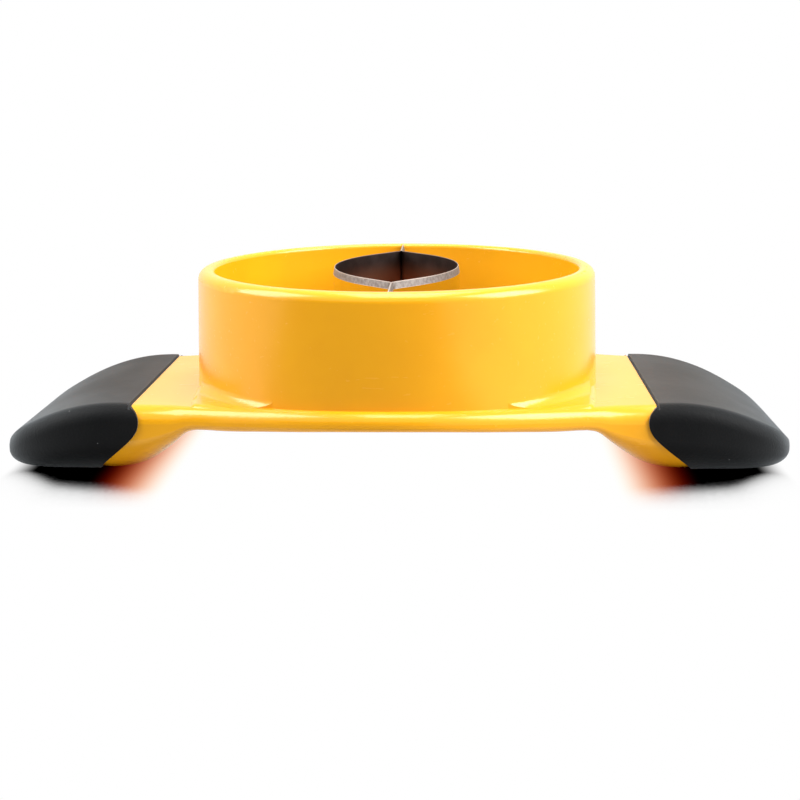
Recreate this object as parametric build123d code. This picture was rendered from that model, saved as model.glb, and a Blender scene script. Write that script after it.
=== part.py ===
from build123d import *
import os
from math import cos, pi, radians, sin, tanh

# A hand-pressed fruit splitter, lying on its two grips with the cutting rim up.
# Lengths are millimetres. X runs along the handles, Y across them, Z up from the resting surface.

# Ring that stands on the deck
rim_height = 58.7
rim_radius = 62.35
ring_base_radius = 63.35
ring_wall = 5.0
rim_round = 3.0
rim_inner_round = 1.2
foot_round = 3.0

# Deck that carries the ring, and the flange under the ring
deck_height = 25.6
deck_thickness = 5.6
deck_thickening = 1.3
deck_half_depth = 66.5
flange_drop = 2.2
flange_half_length = 62.6
flange_side_radius = 320.0
flange_inset = 2.2
flange_corner_round = 3.5
flange_edge_round = 2.4

# Handles at the two ends of the deck
half_length = 122.6
handle_height = 22.0
handle_half_width = 44.0
neck_end = 80.0
edge_round = 5.0
belly_start = 58.5
belly_full = 90.5
droop_start = 82.0
nose_rise_start = 102.0
nose_top = 6.5
nose_bottom = 2.5
nose_cap = 0.6
nose_round = 6.5
rest_flat_depth = 0.3

# Soft grips on the handle ends
grip_line = 78.5
grip_flap_reach = 3.2
grip_foot_reach = 14.0
grip_step = 0.6
groove_width = 0.7
groove_depth = 0.8

# Rigid tongues of the frame inside the grips, placed from the grip line
tongue_end = 26.5
tongue_root = 5.5
tongue_half_width = 28.0
tongue_thickness = 6.0
tongue_floor = 7.5
tongue_corner_round = 9.0
anchor_hole_diameter = 11.0
anchor_hole_spacing = 18.0
anchor_hole_place = 15.5

# Two bent steel strips that close the pit loop
blade_thickness = 0.6
blade_height = 22.0
blade_drop = 0.1
loop_half_width = 20.0
loop_half_depth = 38.4
loop_end_angle = 42.0
tang_bend_radius = 3.0
tang_depth = 3.0
tang_hole_diameter = 1.8
tang_hole_spacing = 11.0
bevel_height = 2.1
edge_thickness = 0.15

# One overrun for all cuts
overrun = 10.0

# Pure numbers: how full the handle end is in plan, and how each section is rounded
nose_power = 5.4
nose_fullness = 3.3
belly_power = 1.5
belly_lead = 0.75
round_share = 0.5523
wall_share = 0.9
over_round_share = 0.72
under_round_share = 0.66
under_flare_share = 1.5
flap_height_shares = (0.97, 0.88, 0.70, 0.49, 0.27)
flap_reach_shares = (0.42, 0.92, 0.88, -0.25, -1.97)

flange_point_shares = (0.0, 0.25, 0.5, 0.75, 1.0)
deck_station_shares = (0.0, 0.17, 0.34, 0.51, 0.68, 0.84, 1.0)
root_station_shares = (0.14, 0.28, 0.42, 0.56, 0.70, 0.85, 1.0)
grip_station_shares = (0.0, 0.17, 0.35, 0.52, 0.67, 0.79, 0.88, 0.93, 0.965, 0.987, 1.0)


def fade(place, start, end, lead=1):
    """One at start and before, nought at end and beyond, steeper after the start for a smaller lead."""
    part = min(max((place - start) / (end - start), 0), 1)
    return cos(pi / 2 * part**lead) ** 2


def half_width(place):
    neck = handle_half_width + (deck_half_depth - handle_half_width) * fade(place, 0, neck_end)
    return neck * (1 - (place / (half_length + nose_cap)) ** nose_power) ** (1 / nose_fullness)


def top_height(place):
    droop = max(place - droop_start, 0) / (half_length - droop_start)
    level = handle_height + (deck_height - handle_height) * fade(place, 0, neck_end)
    return level - (handle_height - nose_top) * droop**2


def bottom_height(place):
    belly = grip_step - rest_flat_depth
    thickness = deck_thickness + deck_thickening * (1 - fade(place, 0, belly_start))
    hollow = top_height(min(place, droop_start)) - thickness - belly
    rise = max(place - nose_rise_start, 0) / (half_length - nose_rise_start)
    under_deck = belly + hollow * fade(place, belly_start, belly_full, belly_lead) ** belly_power
    return under_deck + (nose_bottom - belly) * rise**3


def nose_closing(place):
    """Share of the thickness that is left where the handle end rounds over."""
    part = max(place - half_length + nose_round, 0) / (nose_round + nose_cap)
    return (1 - part**2) ** 0.5


def corner(start, turn, end):
    """A quarter round from start to end, square to both sides that meet at turn."""
    start, turn, end = Vector(start), Vector(turn), Vector(end)
    return Bezier(start, start + (turn - start) * round_share, end + (turn - end) * round_share, end)


def handle_section(place, step):
    """Cross-section of deck or handle at one place along X, standing step proud of the frame."""
    side = half_width(abs(place)) + step
    middle = (top_height(abs(place)) + bottom_height(abs(place))) / 2
    thickness = (top_height(abs(place)) - bottom_height(abs(place)) + 2 * step) * nose_closing(abs(place))
    top = middle + thickness / 2
    bottom = middle - thickness / 2
    over = edge_round * tanh(over_round_share * thickness / edge_round)
    under = under_round_share * (thickness - over)
    flare = under_flare_share * under
    flat = side - over
    foot = side - flare
    shoulder = top - over
    hip = bottom + under
    outline = [
        Line((-flat, top), (flat, top)),
        corner((flat, top), (side, top), (side, shoulder)),
        Line((side, shoulder), (side, hip)),
        corner((side, hip), (side, bottom), (foot, bottom)),
        Line((foot, bottom), (-foot, bottom)),
        corner((-foot, bottom), (-side, bottom), (-side, hip)),
        Line((-side, hip), (-side, shoulder)),
        corner((-side, shoulder), (-side, top), (-flat, top)),
    ]
    return Plane((place, 0, 0), x_dir=(0, 1, 0), z_dir=(1, 0, 0)) * make_face(outline)


def spread(start, end, shares):
    return [start + (end - start) * share for share in shares]


def wing_solid():
    """Deck and both handle roots, one smooth body from grip to grip."""
    reach = grip_line + grip_foot_reach
    places = spread(0, belly_start, deck_station_shares) + spread(belly_start, reach, root_station_shares)
    places = [-place for place in reversed(places[1:])] + places
    return loft([handle_section(place, 0) for place in places])


def grip_zone():
    """Everything outward of the line where the soft grip begins, on the +X side."""
    tall = deck_height + overrun
    line = [(grip_line - grip_flap_reach * reach, handle_height * high)
            for reach, high in zip(flap_reach_shares, flap_height_shares)]
    foot = (grip_line + grip_foot_reach, -overrun)
    start = (grip_line, handle_height)
    wide = half_length + overrun
    outline = [
        Line((grip_line, tall), start),
        Spline(start, *line, foot),
        Polyline(foot, (wide, -overrun), (wide, tall), (grip_line, tall)),
    ]
    return extrude(Plane.XZ * make_face(outline), deck_half_depth + overrun, both=True)


def groove_solid():
    """Shadow groove on top, where the soft grip begins."""
    corner_on_top = (Align.MAX, Align.CENTER, Align.MIN)
    groove = Box(groove_width, 2 * deck_half_depth + overrun, groove_depth + overrun, align=corner_on_top)
    return Pos(grip_line, 0, handle_height - groove_depth) * groove


def tongue_solid():
    """Stiff plate inside the grip, with holes that the soft material fills."""
    plate = RectangleRounded(tongue_end + tongue_root, 2 * tongue_half_width, tongue_corner_round)
    plan = Pos(grip_line + (tongue_end - tongue_root) / 2, 0) * plate
    holes = Pos(grip_line + anchor_hole_place, 0) * GridLocations(0, anchor_hole_spacing, 1, 3)
    plan -= holes * Circle(anchor_hole_diameter / 2)
    return Pos(0, 0, tongue_floor) * extrude(plan, tongue_thickness)


def flange_level():
    return deck_height - flange_drop


def flange_solid():
    """Level plate around the ring, with rounded edges where it steps down to the handles."""
    end = flange_half_length - (flange_side_radius - (flange_side_radius**2 - handle_half_width**2) ** 0.5)
    places = spread(-end, end, flange_point_shares)
    back = Spline(*[(place, half_width(abs(place)) - flange_inset) for place in places])
    front = mirror(back, Plane.XZ)
    right = ThreePointArc(back @ 1, (flange_half_length, 0), front @ 1)
    left = ThreePointArc(back @ 0, (-flange_half_length, 0), front @ 0)
    plan = fillet(make_face([back, right, front, left]).vertices(), flange_corner_round)
    floor = (handle_height + deck_height - deck_thickness) / 2
    plate = extrude(Pos(0, 0, floor) * plan, flange_level() - floor)
    edge = min(flange_edge_round, wall_share * (flange_level() - floor))
    return fillet(plate.edges().group_by(Axis.Z)[-1], edge)


def ring_radius(height):
    """Outer radius of the ring wall at one height."""
    lean = (ring_base_radius - rim_radius) / (rim_height - flange_level())
    return rim_radius + lean * (rim_height - height)


def ring_solid():
    """Round wall of the ring, wider at its foot, before the bore is cut."""
    floor = flange_level() - deck_thickness / 2
    upright = (Align.CENTER, Align.CENTER, Align.MIN)
    return Pos(0, 0, floor) * Cone(ring_radius(floor), rim_radius, rim_height - floor, align=upright)


def foot_solid(flange):
    """Hollow round that leads the level top of the flange up into the ring wall."""
    low = flange_level() - foot_round
    high = flange_level() + foot_round
    inside = bore_radius()
    outside = ring_base_radius + foot_round
    start = (outside, flange_level())
    end = (ring_radius(high), high)
    outline = [
        corner(start, (ring_base_radius, flange_level()), end),
        Polyline(end, (inside, high), (inside, low), (outside, low), start),
    ]
    level_top = flange.faces().sort_by(Axis.Z)[-1]
    return revolve(Plane.XZ * make_face(outline), Axis.Z) & extrude(level_top, foot_round, both=True)


def bore_radius():
    """Clear radius of the ring, which leaves the full wall where the ring is narrowest."""
    return min(rim_radius, ring_base_radius) - ring_wall


def rim_edges(body):
    """The two edges of the level rim, the bore's first."""
    rim = body.faces().filter_by(Plane.XY).sort_by(Axis.Z)[-1]
    return rim.edges().sort_by(SortBy.RADIUS)


def blade_path():
    """Middle line of the right-hand strip, from the back tang round to the front tang."""
    turn = radians(loop_end_angle)
    inset = blade_thickness / 2
    half = loop_half_width - inset
    bow = (loop_half_depth * sin(turn) - (half - inset) * cos(turn)) / (1 - cos(turn))
    meet = (half - bow * (1 - cos(turn)), bow * sin(turn))
    tang_end = bore_radius() + tang_depth
    back = FilletPolyline((inset, tang_end), (inset, loop_half_depth), meet, radius=tang_bend_radius)
    front = mirror(back, Plane.XZ)
    side = ThreePointArc(meet, (half, 0), (meet[0], -meet[1]))
    return Wire([*back.edges(), side, *front.edges()])


def blade_solid():
    """Right-hand strip: a flat steel band, ground to an edge on its outer side, bent to half of the loop."""
    half = blade_thickness / 2
    foot = rim_height - blade_drop - blade_height
    outline = Polyline(
        (-half, 0), (half, 0), (half, blade_height - bevel_height),
        (edge_thickness - half, blade_height), (-half, blade_height), close=True)
    start = Plane((half, bore_radius() + tang_depth, 0), x_dir=(1, 0, 0), z_dir=(0, -1, 0))
    strip = Pos(0, 0, foot) * sweep(start * make_face(outline), path=blade_path())
    middle = foot + (blade_height - bevel_height) / 2
    holes = GridLocations(2 * bore_radius() + tang_depth, tang_hole_spacing, 2, 2)
    rounds = Sketch() + holes * Circle(tang_hole_diameter / 2)
    return strip - Pos(0, 0, middle) * extrude(Plane.YZ * rounds, loop_half_width, both=True)


def grip_solid():
    """Soft grip of the +X handle, with a flat spot underneath to rest on."""
    places = spread(grip_line - 2 * grip_flap_reach, half_length, grip_station_shares)
    body = loft([handle_section(place, grip_step) for place in places])
    under = (Align.CENTER, Align.CENTER, Align.MAX)
    table = Box(2 * half_length + overrun, 2 * deck_half_depth, overrun, align=under)
    return body & grip_zone() - table - groove_solid()


def frame_solid(blades):
    """Moulded frame: deck, ring, handle roots and the tongues inside the grips."""
    cut = grip_zone() + groove_solid()
    tongue = tongue_solid()
    body = wing_solid() - cut - mirror(cut, Plane.YZ)
    flange = flange_solid()
    body = body + flange + ring_solid() + foot_solid(flange)
    body = body - Cylinder(bore_radius(), 2 * rim_height + overrun)
    room = min(1, wall_share * ring_wall / (rim_round + rim_inner_round))
    body = fillet(rim_edges(body)[-1], rim_round * room)
    body = fillet(rim_edges(body)[0], rim_inner_round * room)
    body = body + tongue + mirror(tongue, Plane.YZ)
    for blade in blades:
        body = body - blade
    return body


def build():
    right_blade = blade_solid()
    left_blade = mirror(right_blade, Plane.YZ)
    right_grip = grip_solid() - tongue_solid()
    return {
        "frame": frame_solid((left_blade, right_blade)),
        "left_grip": mirror(right_grip, Plane.YZ),
        "right_grip": right_grip,
        "left_blade": left_blade,
        "right_blade": right_blade,
    }


if __name__ == "__main__":
    os.makedirs("parts", exist_ok=True)
    for name, piece in build().items():
        export_step(piece, f"parts/{name}.step")
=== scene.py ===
"""Looks of a hand-pressed fruit splitter that lies on its two grips with the cutting rim up.

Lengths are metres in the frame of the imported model: X along the handles, Y across them, Z up.
"""

import logging
import math
from dataclasses import dataclass
from enum import Enum

import bmesh
import bpy
from mathutils import Matrix, Vector


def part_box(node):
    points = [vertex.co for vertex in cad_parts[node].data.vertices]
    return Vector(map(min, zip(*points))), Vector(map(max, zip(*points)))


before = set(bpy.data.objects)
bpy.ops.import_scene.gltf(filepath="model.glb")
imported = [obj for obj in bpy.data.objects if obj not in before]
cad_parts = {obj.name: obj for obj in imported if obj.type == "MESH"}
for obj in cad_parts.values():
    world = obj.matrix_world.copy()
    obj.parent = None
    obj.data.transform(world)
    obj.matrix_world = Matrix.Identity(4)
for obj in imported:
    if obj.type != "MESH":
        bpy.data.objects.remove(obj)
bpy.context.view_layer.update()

LOG = logging.getLogger("fruit_splitter")
Colour = tuple[float, float, float, float]
Triple = tuple[float, float, float]
Pair = tuple[float, float]
Feed = bpy.types.NodeSocket | float | Colour | Triple
WHITE: Colour = (1.0, 1.0, 1.0, 1.0)
CHANNELS = ("Red", "Green", "Blue")


class Side(Enum):
    """The two ends of the tool, as they are named in the model."""

    LEFT = "left"
    RIGHT = "right"


class Effect(Enum):
    """Surface effects that more than one finish uses."""

    MOTTLE = "moulding_mottle"
    GRAIN = "fine_grain"
    MARKS = "handling_marks"
    EDGES = "rubbed_edges"


class NodeSheet:
    """Makes and joins the nodes of one node tree."""

    def __init__(self, tree: bpy.types.NodeTree) -> None:
        """Take over a tree and empty it.

        Args:
            tree: The node tree to fill.
        """
        self.tree = tree
        tree.nodes.clear()

    def add(self, kind: str, inputs: dict[str, Feed] | None = None, **settings: object) -> bpy.types.Node:
        """Add one node.

        Args:
            kind: The node's type.
            inputs: A value or an output socket for each named input.
            settings: Attributes of the node itself.

        Returns:
            The new node.
        """
        node = self.tree.nodes.new(kind)
        for name, value in settings.items():
            setattr(node, name, value)
        for name, value in (inputs or {}).items():
            self.feed(node.inputs[name], value)
        return node

    def feed(self, socket: bpy.types.NodeSocket, value: Feed) -> None:
        """Link an output socket to an input, or set the input's own value.

        Args:
            socket: The input.
            value: What it gets.
        """
        if isinstance(value, bpy.types.NodeSocket):
            self.tree.links.new(value, socket)
        else:
            socket.default_value = value

    def math(self, operation: str, *values: Feed) -> bpy.types.NodeSocket:
        """Add a Math node.

        Args:
            operation: The node's operation.
            values: Its inputs in order.

        Returns:
            Its output.
        """
        node = self.add("ShaderNodeMath", operation=operation)
        for socket, value in zip(node.inputs, values):
            self.feed(socket, value)
        return node.outputs[0]

    def dot(self, first: Feed, second: Feed) -> bpy.types.NodeSocket:
        """Multiply two vectors into one number.

        Args:
            first: The first vector.
            second: The second vector.

        Returns:
            Their dot product.
        """
        node = self.add("ShaderNodeVectorMath", operation="DOT_PRODUCT")
        for socket, value in zip(node.inputs, (first, second)):
            self.feed(socket, value)
        return node.outputs["Value"]

    def span(
        self, value: Feed, start: Feed, end: Feed, low: float = 0.0, high: float = 1.0
    ) -> bpy.types.NodeSocket:
        """Ease a value from one level to another.

        Args:
            value: The value to read.
            start: Where the change begins.
            end: Where it ends.
            low: The level before start.
            high: The level after end.

        Returns:
            The eased value.
        """
        limits = {"From Min": start, "From Max": end, "To Min": low, "To Max": high}
        node = self.add("ShaderNodeMapRange", {"Value": value, **limits}, interpolation_type="SMOOTHSTEP")
        return node.outputs["Result"]

    def blend(self, factor: Feed, first: Feed, second: Feed) -> bpy.types.NodeSocket:
        """Mix two colours.

        Args:
            factor: The second colour's share.
            first: The first colour.
            second: The second colour.

        Returns:
            The mixed colour.
        """
        node = self.add("ShaderNodeMix", data_type="RGBA")
        for index, value in ((0, factor), (6, first), (7, second)):
            self.feed(node.inputs[index], value)
        return node.outputs[2]

    def level(self, factor: Feed, first: Feed, second: Feed) -> bpy.types.NodeSocket:
        """Mix two numbers.

        Args:
            factor: The second number's share.
            first: The first number.
            second: The second number.

        Returns:
            The mixed number.
        """
        node = self.add("ShaderNodeMix", data_type="FLOAT")
        for index, value in ((0, factor), (2, first), (3, second)):
            self.feed(node.inputs[index], value)
        return node.outputs[0]

    def between(self, factor: Feed, first: Feed, second: Feed) -> bpy.types.NodeSocket:
        """Mix two shaders.

        Args:
            factor: The second shader's share.
            first: The first shader.
            second: The second shader.

        Returns:
            The mixed shader.
        """
        node = self.add("ShaderNodeMixShader")
        for index, value in enumerate((factor, first, second)):
            self.feed(node.inputs[index], value)
        return node.outputs["Shader"]

    def bump(self, height: Feed, strength: float, depth: float) -> bpy.types.NodeSocket:
        """Turn a height into a bumped normal.

        Args:
            height: The height to read.
            strength: How much of it shows.
            depth: The length that a height of one stands for.

        Returns:
            The normal.
        """
        inputs = {"Strength": strength, "Distance": depth, "Height": height}
        return self.add("ShaderNodeBump", inputs).outputs["Normal"]

    def place(self) -> bpy.types.NodeSocket:
        """Read the place on the object.

        Returns:
            The place, in metres.
        """
        return self.add("ShaderNodeTexCoord").outputs["Object"]

    def normal(self) -> bpy.types.NodeSocket:
        """Read the direction that the surface faces.

        Returns:
            The normal.
        """
        return self.add("ShaderNodeNewGeometry").outputs["Normal"]


class EffectLibrary:
    """Builds each shared surface effect once, as a node group with named sockets."""

    MOTTLE_DETAIL = 3.0
    MOTTLE_ROUGHNESS = 0.55
    MOTTLE_LIMITS: Pair = (0.3, 0.7)
    GRAIN_DETAIL = 2.0
    SCRATCH_TURN: Triple = (0.3, 0.2, 0.5)
    SCRATCH_STRETCH: Triple = (1.0, 14.0, 9.0)
    SCRATCH_SCALE = 90.0
    SCRATCH_DETAIL = 5.0
    SCRATCH_LIMITS: Pair = (0.64, 0.70)
    EDGE_SAMPLES = 6
    EDGE_LIMITS: Pair = (0.985, 0.8)

    def __init__(self) -> None:
        """Start with no groups made."""
        self.trees: dict[Effect, bpy.types.NodeTree] = {}
        self.makers = {
            Effect.MOTTLE: self.make_mottle,
            Effect.GRAIN: self.make_grain,
            Effect.MARKS: self.make_marks,
            Effect.EDGES: self.make_edges,
        }

    def use(self, sheet: NodeSheet, effect: Effect, **values: Feed) -> bpy.types.Node:
        """Place an effect in a material.

        Args:
            sheet: The material's nodes.
            effect: Which effect.
            values: Its inputs, with underscores for the spaces in their names.

        Returns:
            The group node.
        """
        if effect not in self.trees:
            self.trees[effect] = self.makers[effect]()
        group = sheet.add("ShaderNodeGroup", node_tree=self.trees[effect])
        for name, value in values.items():
            sheet.feed(group.inputs[name.replace("_", " ").title()], value)
        return group

    def start(
        self, effect: Effect, inputs: dict[str, float], outputs: list[str]
    ) -> tuple[NodeSheet, bpy.types.Node, bpy.types.Node]:
        """Begin a group.

        Args:
            effect: Which effect it is.
            inputs: Its inputs with their usual values.
            outputs: Its outputs.

        Returns:
            The group's nodes, its input node and its output node.
        """
        tree = bpy.data.node_groups.new(effect.value, "ShaderNodeTree")
        for name, usual in inputs.items():
            socket = tree.interface.new_socket(name=name, in_out="INPUT", socket_type="NodeSocketFloat")
            socket.default_value = usual
        for name in outputs:
            tree.interface.new_socket(name=name, in_out="OUTPUT", socket_type="NodeSocketFloat")
        sheet = NodeSheet(tree)
        return sheet, sheet.add("NodeGroupInput"), sheet.add("NodeGroupOutput")

    def make_mottle(self) -> bpy.types.NodeTree:
        """Build slow unevenness, from nought to one, as in a moulded or rolled surface.

        Returns:
            The group's tree.
        """
        sheet, given, result = self.start(Effect.MOTTLE, {"Scale": 40.0}, ["Value"])
        shape = {"Detail": self.MOTTLE_DETAIL, "Roughness": self.MOTTLE_ROUGHNESS}
        noise = sheet.add("ShaderNodeTexNoise", {"Vector": sheet.place(), **shape})
        sheet.feed(noise.inputs["Scale"], given.outputs["Scale"])
        sheet.feed(result.inputs["Value"], sheet.span(noise.outputs["Fac"], *self.MOTTLE_LIMITS))
        return sheet.tree

    def make_grain(self) -> bpy.types.NodeTree:
        """Build the height of a fine grain, from smooth ripple to sharp pits.

        Returns:
            The group's tree.
        """
        sheet, given, result = self.start(Effect.GRAIN, {"Scale": 1500.0, "Pits": 0.5}, ["Height"])
        place = sheet.place()
        ripple = sheet.add("ShaderNodeTexNoise", {"Vector": place, "Detail": self.GRAIN_DETAIL})
        cells = sheet.add("ShaderNodeTexVoronoi", {"Vector": place}, feature="F1")
        sheet.feed(ripple.inputs["Scale"], given.outputs["Scale"])
        sheet.feed(cells.inputs["Scale"], given.outputs["Scale"])
        pits = sheet.math("MULTIPLY", cells.outputs["Distance"], given.outputs["Pits"])
        sheet.feed(result.inputs["Height"], sheet.math("ADD", ripple.outputs["Fac"], pits))
        return sheet.tree

    def make_marks(self) -> bpy.types.NodeTree:
        """Build masks of sparse dust specks and of fine hairline scratches.

        Returns:
            The group's tree.
        """
        usual = {"Scale": 300.0, "Speck Size": 0.1, "Sparse": 0.8}
        sheet, given, result = self.start(Effect.MARKS, usual, ["Specks", "Scratches"])
        place = sheet.place()
        cells = sheet.add("ShaderNodeTexVoronoi", {"Vector": place}, feature="F1")
        sheet.feed(cells.inputs["Scale"], given.outputs["Scale"])
        inside = sheet.math("LESS_THAN", cells.outputs["Distance"], given.outputs["Speck Size"])
        chance = sheet.add("ShaderNodeSeparateColor", {"Color": cells.outputs["Color"]}).outputs["Red"]
        chosen = sheet.math("GREATER_THAN", chance, given.outputs["Sparse"])
        sheet.feed(result.inputs["Specks"], sheet.math("MULTIPLY", inside, chosen))
        turn = {"Rotation": self.SCRATCH_TURN, "Scale": self.SCRATCH_STRETCH}
        drawn = sheet.add("ShaderNodeMapping", {"Vector": place, **turn}).outputs["Vector"]
        shape = {"Scale": self.SCRATCH_SCALE, "Detail": self.SCRATCH_DETAIL}
        lines = sheet.add("ShaderNodeTexNoise", {"Vector": drawn, **shape}).outputs["Fac"]
        sheet.feed(result.inputs["Scratches"], sheet.span(lines, *self.SCRATCH_LIMITS))
        return sheet.tree

    def make_edges(self) -> bpy.types.NodeTree:
        """Build a mask of the strip beside each edge, where hands and boards rub.

        Returns:
            The group's tree.
        """
        sheet, given, result = self.start(Effect.EDGES, {"Radius": 0.001}, ["Mask"])
        rounded = sheet.add("ShaderNodeBevel", samples=self.EDGE_SAMPLES)
        sheet.feed(rounded.inputs["Radius"], given.outputs["Radius"])
        turn = sheet.dot(rounded.outputs["Normal"], sheet.normal())
        sheet.feed(result.inputs["Mask"], sheet.span(turn, *self.EDGE_LIMITS))
        return sheet.tree


EFFECTS = EffectLibrary()


def shader_sheet(
    name: str, values: dict[str, Feed]
) -> tuple[bpy.types.Material, NodeSheet, bpy.types.Node]:
    """Begin a material with a Principled shader.

    Args:
        name: The material's name.
        values: The shader's constant inputs.

    Returns:
        The material, its nodes and its shader.
    """
    material = bpy.data.materials.new(name)
    material.use_nodes = True
    sheet = NodeSheet(material.node_tree)
    shader = sheet.add("ShaderNodeBsdfPrincipled", values)
    return material, sheet, shader


def show(sheet: NodeSheet, surface: bpy.types.NodeSocket) -> None:
    """Give a material its surface.

    Args:
        sheet: The material's nodes.
        surface: The shader to show.
    """
    sheet.add("ShaderNodeOutputMaterial", {"Surface": surface})


def seen_rays(sheet: NodeSheet) -> bpy.types.NodeSocket:
    """Tell the rays that see or mirror the background from those that light the object.

    Args:
        sheet: The nodes of the background's material or of the world.

    Returns:
        One for camera, glossy and transmission rays, nought for others.
    """
    path = sheet.add("ShaderNodeLightPath")
    seen = sheet.math("MAXIMUM", path.outputs["Is Camera Ray"], path.outputs["Is Glossy Ray"])
    return sheet.math("MAXIMUM", seen, path.outputs["Is Transmission Ray"])


def brighter(colour: Colour, gain: float) -> Colour:
    """Scale a colour.

    Args:
        colour: The colour.
        gain: The factor for its red, green and blue.

    Returns:
        The scaled colour, opaque.
    """
    red, green, blue, _ = colour
    return (gain * red, gain * green, gain * blue, 1.0)


@dataclass(frozen=True)
class GlossPlastic:
    """Glossy moulded plastic of the frame."""

    colour: Colour = (0.93, 0.425, 0.008, 1.0)
    deep_colour: Colour = (0.90, 0.395, 0.006, 1.0)
    rubbed_colour: Colour = (0.94, 0.50, 0.030, 1.0)
    rubbed_share: float = 0.5
    edge_radius: float = 0.0007
    mottle_scale: float = 38.0
    mark_scale: float = 420.0
    speck_size: float = 0.06
    speck_chance: float = 0.94
    gloss: float = 0.18
    gloss_change: float = 0.06
    scratch_dullness: float = 0.07
    speck_dullness: float = 0.2
    specular: float = 0.7
    specular_tint: Colour = (1.0, 0.93, 0.72, 1.0)
    ripple_scale: float = 260.0
    ripple_pits: float = 0.1
    ripple_strength: float = 0.025
    ripple_depth: float = 0.0002

    def material(self) -> bpy.types.Material:
        """Build the finish.

        Returns:
            The material.
        """
        values = {"Specular IOR Level": self.specular, "Specular Tint": self.specular_tint}
        material, sheet, shader = shader_sheet("gloss_yellow_plastic", values)
        mottle = EFFECTS.use(sheet, Effect.MOTTLE, scale=self.mottle_scale).outputs["Value"]
        specks = {"speck_size": self.speck_size, "sparse": self.speck_chance}
        marks = EFFECTS.use(sheet, Effect.MARKS, scale=self.mark_scale, **specks)
        edges = EFFECTS.use(sheet, Effect.EDGES, radius=self.edge_radius).outputs["Mask"]
        grain = EFFECTS.use(sheet, Effect.GRAIN, scale=self.ripple_scale, pits=self.ripple_pits)
        body = sheet.blend(mottle, self.colour, self.deep_colour)
        rubbed = sheet.math("MULTIPLY", edges, self.rubbed_share)
        sheet.feed(shader.inputs["Base Color"], sheet.blend(rubbed, body, self.rubbed_colour))
        uneven = sheet.math("MULTIPLY_ADD", mottle, self.gloss_change, self.gloss)
        scuffed = sheet.math("MULTIPLY_ADD", marks.outputs["Scratches"], self.scratch_dullness, uneven)
        dusted = sheet.math("MULTIPLY_ADD", marks.outputs["Specks"], self.speck_dullness, scuffed)
        sheet.feed(shader.inputs["Roughness"], dusted)
        ripple = sheet.bump(grain.outputs["Height"], self.ripple_strength, self.ripple_depth)
        sheet.feed(shader.inputs["Normal"], ripple)
        show(sheet, shader.outputs["BSDF"])
        return material


@dataclass(frozen=True)
class SoftRubber:
    """Matt black overmoulded rubber of the grips, with a fine grain and a little dust."""

    colour: Colour = (0.0024, 0.0024, 0.0026, 1.0)
    pale_colour: Colour = (0.0042, 0.0042, 0.0045, 1.0)
    dust_colour: Colour = (0.20, 0.20, 0.20, 1.0)
    edge_radius: float = 0.0009
    edge_polish: float = -0.12
    mottle_scale: float = 55.0
    mark_scale: float = 330.0
    speck_size: float = 0.055
    speck_chance: float = 0.93
    roughness: float = 0.52
    roughness_change: float = 0.12
    specular: float = 0.07
    sheen: float = 0.35
    sheen_roughness: float = 0.40
    sheen_tint: Colour = (0.87, 0.95, 1.0, 1.0)
    grain_scale: float = 1600.0
    grain_pits: float = 0.7
    grain_strength: float = 0.55
    grain_depth: float = 0.00008

    def material(self) -> bpy.types.Material:
        """Build the finish.

        Returns:
            The material.
        """
        values = {
            "Specular IOR Level": self.specular,
            "Sheen Weight": self.sheen,
            "Sheen Roughness": self.sheen_roughness,
            "Sheen Tint": self.sheen_tint,
        }
        material, sheet, shader = shader_sheet("soft_black_rubber", values)
        mottle = EFFECTS.use(sheet, Effect.MOTTLE, scale=self.mottle_scale).outputs["Value"]
        specks = {"speck_size": self.speck_size, "sparse": self.speck_chance}
        marks = EFFECTS.use(sheet, Effect.MARKS, scale=self.mark_scale, **specks)
        edges = EFFECTS.use(sheet, Effect.EDGES, radius=self.edge_radius).outputs["Mask"]
        grain = EFFECTS.use(sheet, Effect.GRAIN, scale=self.grain_scale, pits=self.grain_pits)
        body = sheet.blend(mottle, self.colour, self.pale_colour)
        dusted = sheet.blend(marks.outputs["Specks"], body, self.dust_colour)
        sheet.feed(shader.inputs["Base Color"], dusted)
        uneven = sheet.math("MULTIPLY_ADD", mottle, self.roughness_change, self.roughness)
        polished = sheet.math("MULTIPLY_ADD", edges, self.edge_polish, uneven)
        sheet.feed(shader.inputs["Roughness"], polished)
        pitted = sheet.bump(grain.outputs["Height"], self.grain_strength, self.grain_depth)
        sheet.feed(shader.inputs["Normal"], pitted)
        show(sheet, shader.outputs["BSDF"])
        return material


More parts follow.
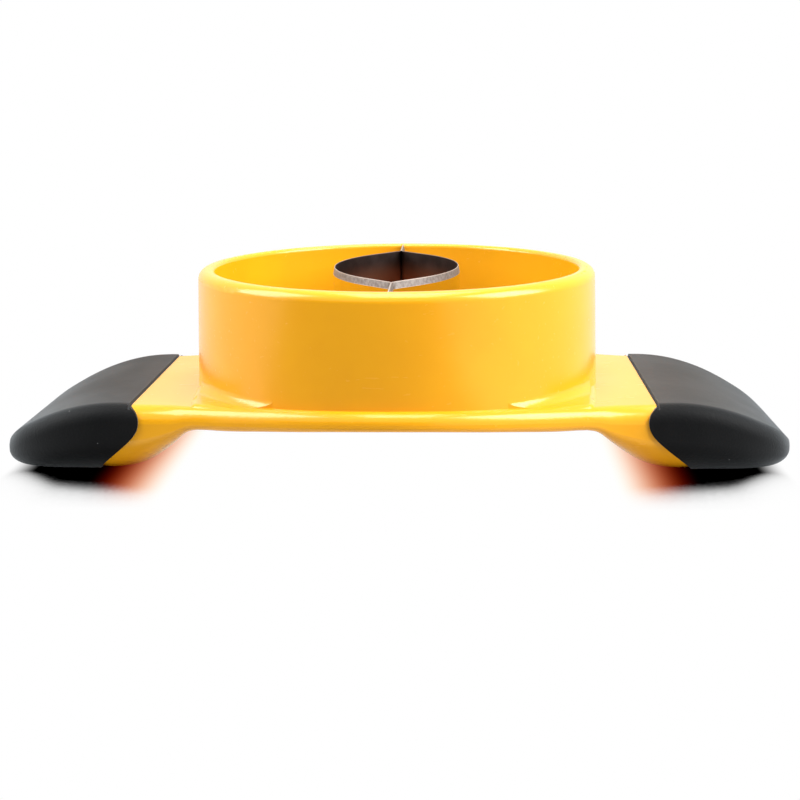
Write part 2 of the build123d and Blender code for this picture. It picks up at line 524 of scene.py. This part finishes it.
@dataclass(frozen=True)
class GroundSteel:
    """Bent strip steel: polished outside, rolled inside with painted dark reflection, browner lower down,
    and a ground bevel at the top.
    """

    bevel_start: float
    edge_start: float
    bevel_blur: float = 0.00015
    edge_blur: float = 0.0002
    colour: Colour = (0.62, 0.60, 0.58, 1.0)
    bevel_colour: Colour = (0.125, 0.112, 0.106, 1.0)
    bevel_gain: float = 1.5
    speckle_scale: float = 900.0
    speckle_share: float = 0.22
    edge_colour: Colour = (0.42, 0.37, 0.33, 1.0)
    # painted dark reflection on the inside faces, mottled up to inner_gain times brighter
    inner_painted_reflection_colour: Colour = (0.080, 0.060, 0.054, 1.0)
    inner_gain: float = 1.6
    inner_scale: float = 160.0
    inner_turn: float = -0.0004
    # painted brown reflection on the lower inside faces, fading in from low_start to low_end below the
    # edge
    low_painted_reflection_colour: Colour = (0.40, 0.20, 0.12, 1.0)
    low_start: float = 0.002
    low_end: float = 0.009
    mark_scale: float = 700.0
    speck_size: float = 0.08
    speck_chance: float = 0.9
    polish: float = 0.10
    scratch_dullness: float = 0.12
    ground: float = 0.50
    ground_change: float = 0.15
    rolled: float = 0.34
    line_scale: Triple = (5200.0, 5200.0, 260.0)
    line_detail: float = 2.0
    line_limits: Pair = (0.3, 0.7)
    line_strength: float = 0.12
    line_depth: float = 0.00002

    def material(self) -> bpy.types.Material:
        """Build the finish.

        Returns:
            The material.
        """
        material, sheet, shader = shader_sheet("ground_strip_steel", {"Metallic": 1.0})
        place = sheet.place()
        axes = sheet.add("ShaderNodeSeparateXYZ", {"Vector": place}).outputs
        blur = self.bevel_blur
        bevel = sheet.span(axes["Z"], self.bevel_start - blur, self.bevel_start + blur)
        edge = sheet.span(axes["Z"], self.edge_start - self.edge_blur, self.edge_start)
        # mask of the lower inside, where the painted brown reflection lies
        low = sheet.span(axes["Z"], self.edge_start - self.low_start, self.edge_start - self.low_end)
        outward = sheet.add("ShaderNodeCombineXYZ", {"X": axes["X"], "Y": axes["Y"]}).outputs["Vector"]
        inner = sheet.span(sheet.dot(outward, sheet.normal()), 0.0, self.inner_turn)
        grind = self.grinding(sheet, place)
        outside = sheet.blend(bevel, self.colour, self.bevel_tone(sheet, grind))
        # inside faces: painted dark reflection, mottled, turning to painted brown reflection lower down
        mottle = EFFECTS.use(sheet, Effect.MOTTLE, scale=self.inner_scale).outputs["Value"]
        inside = sheet.blend(mottle, self.inner_painted_reflection_colour, brighter(self.inner_painted_reflection_colour, self.inner_gain))
        inside = sheet.blend(low, inside, self.low_painted_reflection_colour)
        sides = sheet.blend(inner, outside, inside)
        sheet.feed(shader.inputs["Base Color"], sheet.blend(edge, sides, self.edge_colour))
        specks = {"speck_size": self.speck_size, "sparse": self.speck_chance}
        marks = EFFECTS.use(sheet, Effect.MARKS, scale=self.mark_scale, **specks)
        worn = sheet.math("MULTIPLY_ADD", marks.outputs["Scratches"], self.scratch_dullness, self.polish)
        ground = sheet.math("MULTIPLY_ADD", grind, self.ground_change, self.ground)
        rough = sheet.level(inner, sheet.level(bevel, worn, ground), self.rolled)
        sheet.feed(shader.inputs["Roughness"], rough)
        lines = sheet.bump(sheet.math("MULTIPLY", grind, bevel), self.line_strength, self.line_depth)
        sheet.feed(shader.inputs["Normal"], lines)
        show(sheet, shader.outputs["BSDF"])
        return material

    def grinding(self, sheet: NodeSheet, place: bpy.types.NodeSocket) -> bpy.types.NodeSocket:
        """Draw the fine upright lines that a grinding wheel leaves.

        Args:
            sheet: The material's nodes.
            place: The place on the strip.

        Returns:
            A value from nought to one.
        """
        stretch = {"Vector": place, "Scale": self.line_scale}
        drawn = sheet.add("ShaderNodeMapping", stretch).outputs["Vector"]
        shape = {"Vector": drawn, "Scale": 1.0, "Detail": self.line_detail}
        lines = sheet.add("ShaderNodeTexNoise", shape).outputs["Fac"]
        return sheet.span(lines, *self.line_limits)

    def bevel_tone(self, sheet: NodeSheet, grind: bpy.types.NodeSocket) -> bpy.types.NodeSocket:
        """Colour the ground bevel, with its lines and a fine speckle.

        Args:
            sheet: The material's nodes.
            grind: The grinding lines.

        Returns:
            The colour.
        """
        lined = sheet.blend(grind, self.bevel_colour, brighter(self.bevel_colour, self.bevel_gain))
        speckle = EFFECTS.use(sheet, Effect.MOTTLE, scale=self.speckle_scale).outputs["Value"]
        return sheet.blend(sheet.math("MULTIPLY", speckle, self.speckle_share), lined, self.colour)


@dataclass(frozen=True)
class WhiteTable:
    """White table top with a painted contact shadow under the grips and painted orange bounce light beside
    the yellow handle roots.

    The table is open from below, so that the object's underside can be seen.
    """

    colour: Colour = (0.42, 0.42, 0.42, 1.0)
    roughness: float = 0.16
    specular: float = 0.6
    contact_samples: int = 16
    contact_reach: float = 0.055
    contact_dark: float = 0.705
    contact_light: float = 0.92
    tip_start: float = 0.098
    tip_end: float = 0.116
    tip_dark: float = 0.36
    clear_start: float = 0.110
    clear_end: float = 0.119
    side_start: float = 0.052
    side_end: float = 0.075
    glow_start: float = 0.092
    glow_end: Triple = (0.070, 0.066, 0.065)
    glow_power: Triple = (1.7, 3.0, 3.8)

    def material(self) -> bpy.types.Material:
        """Build the finish.

        Returns:
            The material.
        """
        values = {
            "Base Color": self.colour,
            "Roughness": self.roughness,
            "Specular IOR Level": self.specular,
        }
        material, sheet, shader = shader_sheet("white_table", values)
        # camera and gloss rays see the painted shadow and painted bounce light as emission; other rays see
        # the lit table
        plain = sheet.add("ShaderNodeEmission", {"Color": self.shadow(sheet)}).outputs["Emission"]
        above = sheet.between(seen_rays(sheet), shader.outputs["BSDF"], plain)
        below = sheet.add("ShaderNodeNewGeometry").outputs["Backfacing"]
        clear = sheet.add("ShaderNodeBsdfTransparent").outputs["BSDF"]
        show(sheet, sheet.between(below, above, clear))
        return material

    def shadow(self, sheet: NodeSheet) -> bpy.types.NodeSocket:
        """Paint the shadow into the table's colour, from white to the dark under the grips, with painted
        orange bounce light beside the yellow roots.

        Args:
            sheet: The material's nodes.

        Returns:
            The colour.
        """
        reach = {"Distance": self.contact_reach}
        near = sheet.add("ShaderNodeAmbientOcclusion", reach, samples=self.contact_samples).outputs["AO"]
        axes = sheet.add("ShaderNodeSeparateXYZ", {"Vector": sheet.place()}).outputs
        along = sheet.math("ABSOLUTE", axes["X"])
        across = sheet.math("ABSOLUTE", axes["Y"])
        # painted contact shadow: darker where occlusion is higher, lighter under the grip tips, gone past
        # the tips and beyond the sides
        dark = sheet.span(along, self.tip_start, self.tip_end, self.contact_dark, self.tip_dark)
        clear = sheet.span(near, dark, self.contact_light)
        clear = sheet.math("MAXIMUM", clear, sheet.span(along, self.clear_start, self.clear_end))
        clear = sheet.math("MAXIMUM", clear, sheet.span(across, self.side_start, self.side_end))
        shown = sheet.add("ShaderNodeCombineColor")
        # painted orange bounce light: towards the middle the painted shadow lifts, red first, then green,
        # then blue
        for channel, end, power in zip(CHANNELS, self.glow_end, self.glow_power):
            glow = sheet.math("POWER", sheet.span(along, self.glow_start, end), power)
            covered = sheet.math("SUBTRACT", 1.0, glow)
            sheet.feed(shown.inputs[channel], sheet.math("MULTIPLY_ADD", covered, clear, glow))
        return shown.outputs["Color"]


def dress(node: str, material: bpy.types.Material) -> None:
    """Give one node of the model its finish.

    Args:
        node: The node's name.
        material: The finish.
    """
    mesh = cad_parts[node].data
    mesh.materials.clear()
    mesh.materials.append(material)
    LOG.info("dressed %s in %s", node, material.name)


@dataclass
class Body:
    """The moulded frame with its ring, deck and handle roots."""

    node: str = "frame"
    finish: GlossPlastic = GlossPlastic()

    def build(self) -> None:
        """Dress the frame."""
        dress(self.node, self.finish.material())


@dataclass
class Grips:
    """The two soft grips, which share one finish."""

    finish: SoftRubber = SoftRubber()

    def build(self) -> None:
        """Dress both grips."""
        rubber = self.finish.material()
        for side in Side:
            dress(f"{side.value}_grip", rubber)


@dataclass
class PitLoop:
    """The two bent strips that form the pointed loop."""

    bevel_height: float = 0.0021
    edge_height: float = 0.00008

    def build(self) -> None:
        """Dress both strips, with the bevel where their mesh has it."""
        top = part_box("left_blade")[1].z
        finish = GroundSteel(bevel_start=top - self.bevel_height, edge_start=top - self.edge_height)
        steel = finish.material()
        for side in Side:
            dress(f"{side.value}_blade", steel)


@dataclass
class Lamp:
    """One soft lamp that looks at the object."""

    name: str
    place: Triple
    aim: Triple
    width: float
    height: float
    power: float

    def build(self) -> None:
        """Make the lamp and turn it to its aim."""
        light = bpy.data.lights.new(self.name, "AREA")
        light.shape = "RECTANGLE"
        light.size = self.width
        light.size_y = self.height
        light.energy = self.power
        lamp = bpy.data.objects.new(self.name, light)
        lamp.location = self.place
        lamp.rotation_mode = "QUATERNION"
        lamp.rotation_quaternion = (Vector(self.aim) - Vector(self.place)).to_track_quat("-Z", "Y")
        bpy.context.scene.collection.objects.link(lamp)
        LOG.info("lamp %s", self.name)


@dataclass
class Studio:
    """White table, even surround, soft lamps and a dark card for the gloss."""

    table_radius: float = 3.0
    table_corners: int = 96
    table_drop: float = 0.00005
    surround: float = 0.22
    background: float = 1.0
    card_colour: Colour = (0.03, 0.03, 0.03, 1.0)
    card_roughness: float = 1.0
    card_near: float = -0.080
    card_far: float = -0.95
    card_top: float = 0.42
    card_lift: float = 0.001
    card_near_span: Pair = (-0.20, 0.10)
    card_far_span: Pair = (-1.4, 0.40)

    def build(self) -> None:
        """Make the table, the dark card, the surround and the lamps."""
        self.make_table()
        self.make_card()
        self.make_surround()
        for lamp in self.lamps():
            lamp.build()

    def lamps(self) -> list[Lamp]:
        """List the lamps.

        Returns:
            One lamp over the object, one high at its right and one high at its left.
        """
        middle = (0.0, 0.0, 0.03)
        overhead = Lamp(
            name="overhead_lamp", place=(0.03, 0.05, 0.93), aim=(0.03, 0.0499, 0.0),
            width=0.5, height=1.0, power=8.5,
        )
        right = Lamp(
            name="right_lamp", place=(0.80, -0.23, 0.60), aim=middle, width=0.62, height=0.74, power=15.5
        )
        left = Lamp(
            name="left_lamp", place=(-0.80, -0.07, 0.60), aim=middle, width=0.60, height=0.74, power=10.0
        )
        return [overhead, right, left]

    def make_table(self) -> None:
        """Make the table top as a round sheet under the grips."""
        mesh = bpy.data.meshes.new("table_top")
        disc = bmesh.new()
        bmesh.ops.create_circle(disc, cap_ends=True, radius=self.table_radius, segments=self.table_corners)
        disc.to_mesh(mesh)
        disc.free()
        mesh.materials.append(WhiteTable().material())
        table = bpy.data.objects.new("table_top", mesh)
        table.location.z = -self.table_drop
        bpy.context.scene.collection.objects.link(table)
        LOG.info("stage %s", table.name)

    def make_card(self) -> None:
        """Make the dark card before the object, bent up behind the camera, that only gloss mirrors."""
        rows = (
            (self.card_near, self.card_lift, self.card_near_span),
            (self.card_far, self.card_lift, self.card_far_span),
            (self.card_far, self.card_top, self.card_far_span),
        )
        corners = [(end, across, height) for across, height, span in rows for end in span]
        mesh = bpy.data.meshes.new("dark_card")
        mesh.from_pydata(corners, [], [(0, 1, 3, 2), (2, 3, 5, 4)])
        values = {"Base Color": self.card_colour, "Roughness": self.card_roughness}
        material, sheet, shader = shader_sheet("dark_card", values)
        show(sheet, shader.outputs["BSDF"])
        mesh.materials.append(material)
        card = bpy.data.objects.new("dark_card", mesh)
        for ray in ("camera", "diffuse", "transmission", "volume_scatter", "shadow"):
            setattr(card, f"visible_{ray}", False)
        bpy.context.scene.collection.objects.link(card)
        LOG.info("stage %s", card.name)

    def make_surround(self) -> None:
        """Light the scene evenly, with plain white behind everything that is seen or mirrored."""
        world = bpy.data.worlds.new("white_surround")
        world.use_nodes = True
        sheet = NodeSheet(world.node_tree)
        lit, shown = (
            sheet.add("ShaderNodeBackground", {"Color": WHITE, "Strength": strength}).outputs["Background"]
            for strength in (self.surround, self.background)
        )
        sheet.add("ShaderNodeOutputWorld", {"Surface": sheet.between(seen_rays(sheet), lit, shown)})
        bpy.context.scene.world = world
        LOG.info("world %s", world.name)


@dataclass
class Viewpoint:
    """Camera at the viewing angle of the picture: low, in front and a little to the right."""

    place: Triple = (0.0192936, -0.462581, 0.118153)
    yaw: float = -0.0401
    pitch: float = 0.2196
    roll: float = -0.0083
    lens: float = 66.015
    sensor: float = 36.0
    nearest: float = 0.01
    farthest: float = 50.0

    def build(self) -> None:
        """Make the camera and use it."""
        data = bpy.data.cameras.new("picture_camera")
        data.lens = self.lens
        data.sensor_width = self.sensor
        data.clip_start = self.nearest
        data.clip_end = self.farthest
        camera = bpy.data.objects.new("picture_camera", data)
        camera.matrix_world = Matrix.Translation(self.place) @ self.turn()
        bpy.context.scene.collection.objects.link(camera)
        bpy.context.scene.camera = camera
        LOG.info("camera %s", camera.name)

    def turn(self) -> Matrix:
        """Find how the camera is turned.

        Returns:
            The rotation that points it along its yaw and pitch, with its roll.
        """
        ahead = Vector((
            math.sin(self.yaw) * math.cos(self.pitch),
            math.cos(self.yaw) * math.cos(self.pitch),
            -math.sin(self.pitch),
        ))
        level = Vector((math.cos(self.yaw), -math.sin(self.yaw), 0.0))
        above = level.cross(ahead)
        across = math.cos(self.roll) * level + math.sin(self.roll) * above
        upward = math.cos(self.roll) * above - math.sin(self.roll) * level
        return Matrix((across, upward, -ahead)).transposed().to_4x4()


def main() -> None:
    """Build the looks in order: camera, studio, frame, grips and pit loop."""
    logging.basicConfig(level=logging.INFO)
    bpy.context.scene.view_settings.view_transform = "Standard"
    for assembly in (Viewpoint(), Studio(), Body(), Grips(), PitLoop()):
        assembly.build()


if __name__ == "__main__":
    main()
